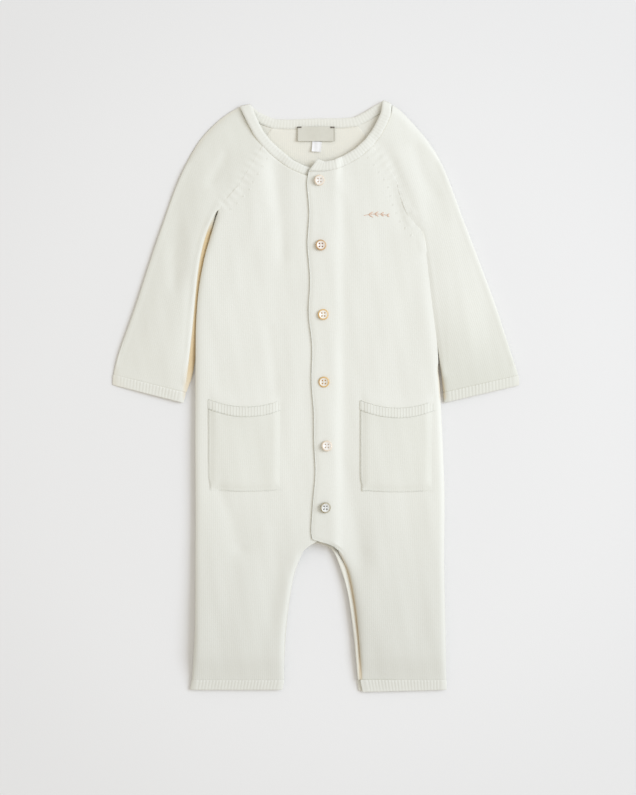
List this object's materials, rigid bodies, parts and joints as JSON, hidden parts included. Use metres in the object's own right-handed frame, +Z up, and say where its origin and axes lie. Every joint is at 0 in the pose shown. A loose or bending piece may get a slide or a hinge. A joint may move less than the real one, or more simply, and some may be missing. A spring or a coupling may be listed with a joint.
{
  "type": "baby romper",
  "caption": "Long-sleeved knitted baby romper with raglan sleeves, a buttoned front and two patch pockets, laid flat on its back.",
  "frame": {"origin": "middle of the garment's footprint, on the surface that it lies on", "axes": "+Y from the leg hems to the neck, +Z up out of the surface, +X to the wearer's left; the front faces up"},
  "size_m": [0.372, 0.5412, 0.0152],
  "materials": {
    "knit": "soft fine-gauge jersey knit, matt",
    "rib": "one-by-one rib knit, matt",
    "button": "pearly, semi-gloss",
    "label": "fine woven tape",
    "size_tab": "fine woven tape"
  },
  "bodies": {
    "root": {"back": "knit", "front_right": "knit", "front_left": "knit", "sleeve_right": "knit", "sleeve_left": "knit", "neckband": "rib", "cuff_right": "rib", "cuff_left": "rib", "hem_right": "rib", "hem_left": "rib", "pocket_right": "knit", "pocket_left": "knit", "pocket_band_right": "rib", "pocket_band_left": "rib", "button_1": "button", "button_2": "button", "button_3": "button", "button_4": "button", "button_5": "button", "button_6": "button", "neck_label": "label", "size_tab": "size_tab"}
  },
  "joints": []
}
